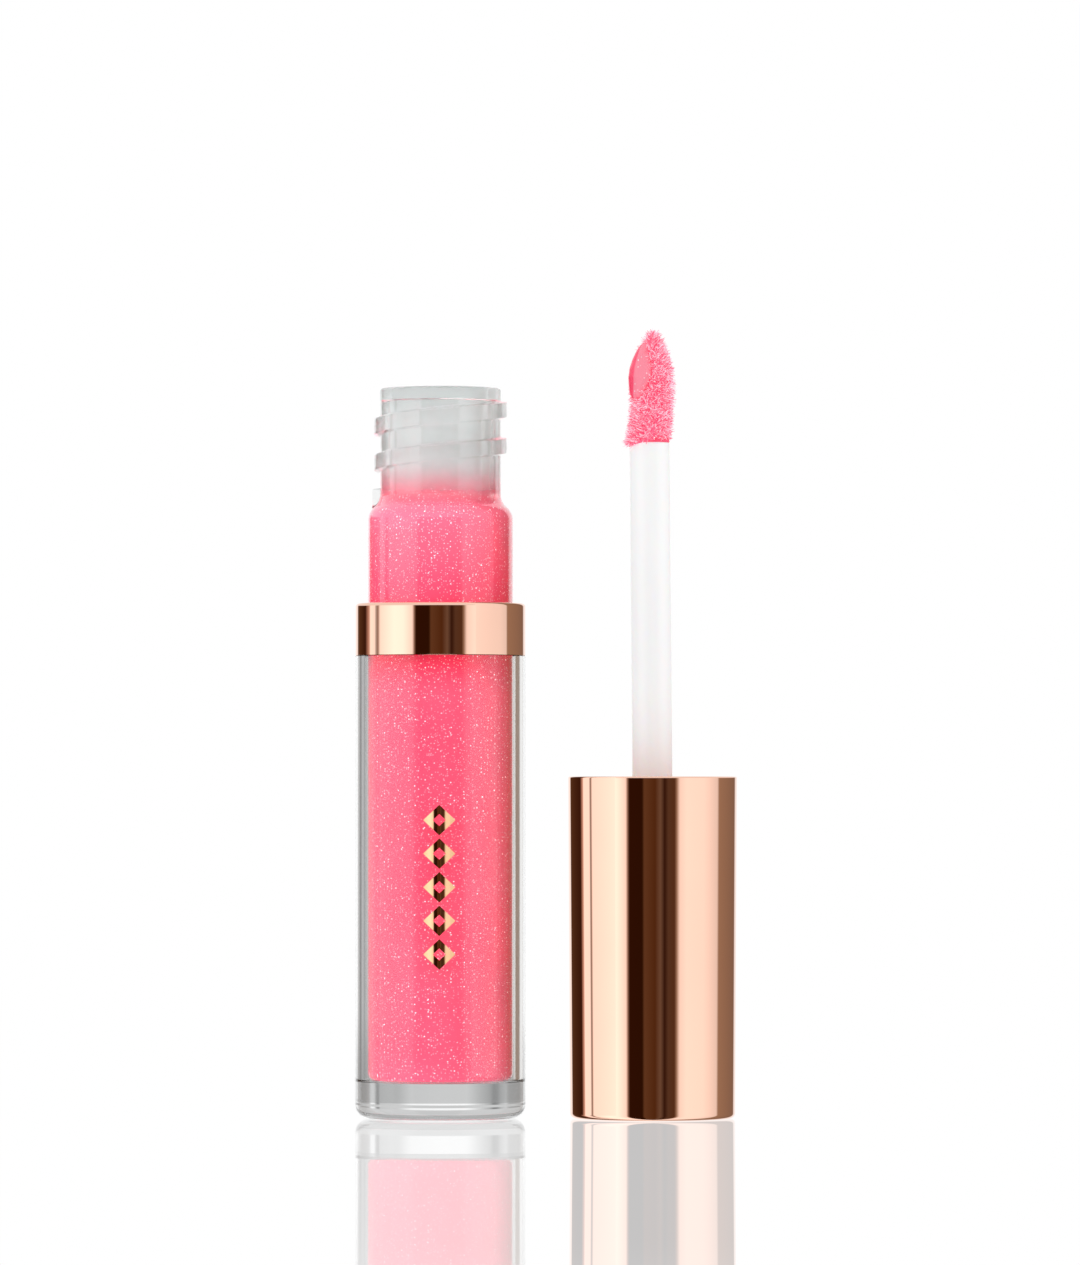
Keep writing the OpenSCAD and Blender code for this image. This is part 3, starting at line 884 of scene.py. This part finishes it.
def make_world():
    """Soft studio: a white sweep for the camera, bright and dark panels round about for mirrors."""
    world = bpy.data.worlds.new("studio")
    scene.world = world
    world.use_nodes = True
    t = Tree(world.node_tree)
    out = t.node("ShaderNodeOutputWorld")
    light = t.node("ShaderNodeBackground")
    t.link(light.outputs[0], out.inputs[0])
    split = t.node("ShaderNodeSeparateXYZ")
    t.link(t.node("ShaderNodeTexCoord").outputs["Generated"], split.inputs[0])
    x, y, z = split.outputs
    angle = t.math("ARCTAN2", x, t.math("MULTIPLY", y, -1.0))
    bearing = t.math("ADD", t.math("DIVIDE", angle, 2 * math.pi), 0.5)
    above = t.span(z, 0.09, 0.2)
    mirror = t.mix(above, ramp(t, bearing, BANDS), rgba((1, 1, 1)))
    through = t.mix(t.span(z, 0.046, 0.075), ramp(t, bearing, THROUGH), rgba(THROUGH_ABOVE))
    path = t.node("ShaderNodeLightPath").outputs
    seen_through = t.math("MINIMUM", path["Transmission Depth"], 1.0)
    colour = t.mix(seen_through, mirror, through)
    matt = t.math("MINIMUM", path["Diffuse Depth"], 1.0)
    colour = t.mix(matt, colour, ramp(t, bearing, SOFT))
    behind_wall = t.math("MULTIPLY", matt, path["Is Transmission Ray"])
    # The floor's mirror shows the same white as the camera sees, so the floor is plain all round
    in_floor = t.math("MULTIPLY", path["Is Glossy Ray"], path["Is Singular Ray"])
    in_floor = t.math("MULTIPLY", in_floor, t.math("SUBTRACT", 1.0, seen_through))
    plain = t.math("MAXIMUM", path["Is Camera Ray"], in_floor)
    colour = t.mix(plain, colour, rgba((1, 1, 1)))
    t.link(colour, light.inputs[0])
    t.link(t.span(behind_wall, 0, 1, 1, WALL_BOOST), light.inputs[1])


def make_card(name, shift, lights):
    """A card on edge between bottle and cap, which keeps one out of the other's mirror image."""
    x = CAMERA["aside"] / MM + shift
    rows, columns = 8, 36
    pitch = (CARD_BACK - CARD_FRONT) / columns
    verts, faces = [], []
    for j in range(rows + 1):
        for i in range(columns + 1):
            verts.append((x, CARD_FRONT + pitch * i, CARD_HEIGHT * j / rows))
    n = columns + 1
    for j in range(rows):
        for i in range(columns):
            a = j * n + i
            faces.append((a, a + 1, a + n + 1, a + n))
    card = finish_mesh(name, verts, faces)
    mat, t, out = blank_material(name)
    which = t.node("ShaderNodeMixShader")
    clear = t.node("ShaderNodeBsdfTransparent")
    glow = t.node("ShaderNodeEmission")
    path = t.node("ShaderNodeLightPath").outputs
    near = t.math("LESS_THAN", path["Ray Length"], CARD_REACH)
    # The floor's perfectly sharp mirror leaves the cards out; no other mirror is quite that sharp
    soft_mirror = t.math("SUBTRACT", path["Is Glossy Ray"], path["Is Singular Ray"], clamped=True)
    _, y, z = t.xyz()
    # Mirror images made inside the clear walls meet the card too, up to the cap's rim
    twice = t.math("LESS_THAN", 0.5, path["Glossy Depth"])
    beside_cap = t.math("LESS_THAN", z, cap.z1 * MM)
    inside = t.math("MULTIPLY", t.math("MULTIPLY", twice, beside_cap), path["Is Transmission Ray"])
    mirror = t.math("MULTIPLY", near, t.math("MAXIMUM", soft_mirror, inside))
    t.link(t.math("MAXIMUM", mirror, path["Is Diffuse Ray"]), which.inputs[0])
    t.link(clear.outputs[0], which.inputs[1])
    t.link(glow.outputs[0], which.inputs[2])
    t.link(which.outputs[0], out)
    share = t.span(y, CARD_FRONT * MM, CARD_BACK * MM, kind="LINEAR")
    shown = ramp(t, share, lights, CARD_FRONT, CARD_BACK)
    t.link(t.mix(path["Is Diffuse Ray"], shown, rgba((1, 1, 1))), glow.inputs[0])
    card.data.materials.append(mat)
    card.visible_camera = False
    card.visible_shadow = False


def make_floor():
    """Pale glossy floor that mirrors a little under half of what stands on it."""
    radius, rings, sides = 4.0, 6, 48
    verts, faces = [(0, 0, -FLOOR_DROP)], []
    for j in range(rings):
        r = radius * ((j + 1) / rings) ** 2
        verts += [
            (r * math.cos(2 * math.pi * i / sides), r * math.sin(2 * math.pi * i / sides), -FLOOR_DROP)
            for i in range(sides)
        ]
    for i in range(sides):
        i2 = (i + 1) % sides
        faces.append((0, 1 + i, 1 + i2))
        for j in range(rings - 1):
            a = 1 + j * sides
            faces.append((a + i, a + sides + i, a + sides + i2, a + i2))
    mesh = bpy.data.meshes.new("floor")
    mesh.from_pydata(verts, [], faces)
    floor = bpy.data.objects.new("floor", mesh)
    scene.collection.objects.link(floor)
    mat, t, out = blank_material("floor")
    both = t.node("ShaderNodeMixShader")
    pale = t.node("ShaderNodeEmission")
    mirror = t.node("ShaderNodeBsdfGlossy")
    mirror.inputs["Roughness"].default_value = 0.0
    mirror.inputs["Color"].default_value = (1, 1, 1, 1)
    path = t.node("ShaderNodeLightPath").outputs
    undiffused = t.math("LESS_THAN", path["Diffuse Depth"], 0.5)
    through = t.math("MULTIPLY", path["Is Transmission Ray"], undiffused)
    length = t.node("ShaderNodeVectorMath", operation="LENGTH")
    t.link(t.node("ShaderNodeTexCoord").outputs["Object"], length.inputs[0])
    distance = length.outputs["Value"]
    # The mirror fades out far off, and takes over there for what is seen through clear parts
    seen = t.math("SUBTRACT", 1.0, through)
    fading = t.math("MULTIPLY", seen, t.span(distance, 0.2, 0.5, FLOOR_MIRROR, 0.0))
    rising = t.math("MULTIPLY", through, t.span(distance, 0.1, 0.4, FLOOR_MIRROR, 1.0))
    t.link(t.math("ADD", fading, rising), both.inputs[0])
    t.link(t.mix(through, rgba((1, 1, 1)), rgba(FLOOR_UNDER_GLASS)), pale.inputs[0])
    t.link(pale.outputs[0], both.inputs[1])
    t.link(mirror.outputs[0], both.inputs[2])
    t.link(both.outputs[0], out)
    mesh.materials.append(mat)
    floor.visible_glossy = False


def make_camera():
    """Long lens, a little above the cap's middle height, tilted up to frame both parts."""
    distance, height = CAMERA["distance"], CAMERA["height"]
    data = bpy.data.cameras.new("camera")
    data.lens, data.sensor_width = CAMERA["lens"], 36.0
    data.clip_start, data.clip_end = 0.05, 20.0
    camera = bpy.data.objects.new("camera", data)
    scene.collection.objects.link(camera)
    camera.location = (CAMERA["aside"], -distance, height)
    tilt = math.atan((CAMERA["aim"] - height) / distance)
    camera.rotation_euler = (math.pi / 2 + tilt, 0, 0)
    scene.camera = camera


make_world()
make_floor()
make_card("card_left", -0.04, BOTTLE_CARD)
make_card("card_right", 0.04, CAP_CARD)
make_camera()
scene.view_settings.view_transform = "Standard"
scene.cycles.max_bounces = 24
scene.cycles.transmission_bounces = 24
scene.cycles.glossy_bounces = 8
scene.cycles.diffuse_bounces = 10
scene.cycles.blur_glossy = 0.0
scene.cycles.transparent_max_bounces = 16
